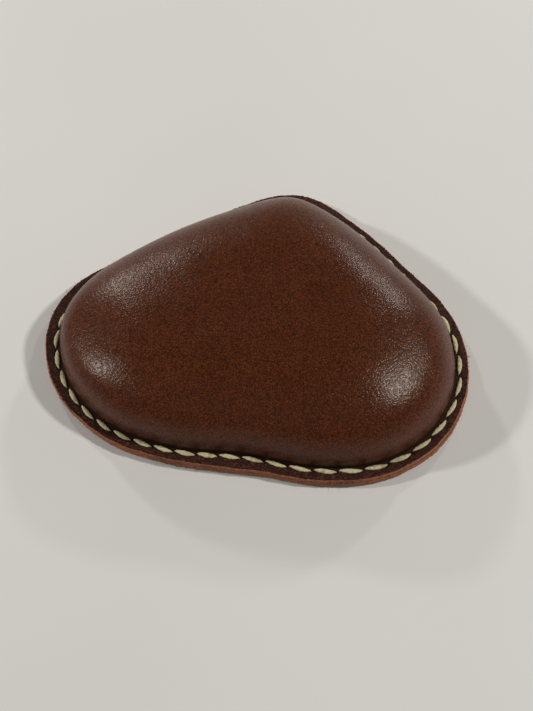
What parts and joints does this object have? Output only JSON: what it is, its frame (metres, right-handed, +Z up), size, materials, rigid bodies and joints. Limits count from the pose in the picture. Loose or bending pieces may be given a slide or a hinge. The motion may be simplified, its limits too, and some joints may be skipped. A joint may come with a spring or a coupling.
{
  "type": "palm thimble",
  "caption": "Stitched leather palm thimble: a three-lobed moulded dome with a saddle-stitched flange, a felt core and a flat sole.",
  "frame": {"origin": "middle of the outline's bounding box, on the plane of the flat sole", "axes": "+Z up through the dome, +X along the long side towards the right lobe, +Y towards the third lobe"},
  "size_m": [0.0892, 0.0696, 0.0182],
  "materials": {
    "dome_leather": "smooth waxed grain, dark brown, low gloss",
    "sole_leather": "smooth grain, dark brown, raw red-brown cut edge",
    "waxed_thread": "waxed linen, cream",
    "felt": "pressed wool felt, grey",
    "steel": "plain cold-rolled sheet"
  },
  "bodies": {
    "root": {"top_shell": "dome_leather", "sole": "sole_leather", "palm_core": "felt", "needle_plate": "steel", "thread_first_needle": "waxed_thread", "thread_second_needle": "waxed_thread"}
  },
  "joints": []
}
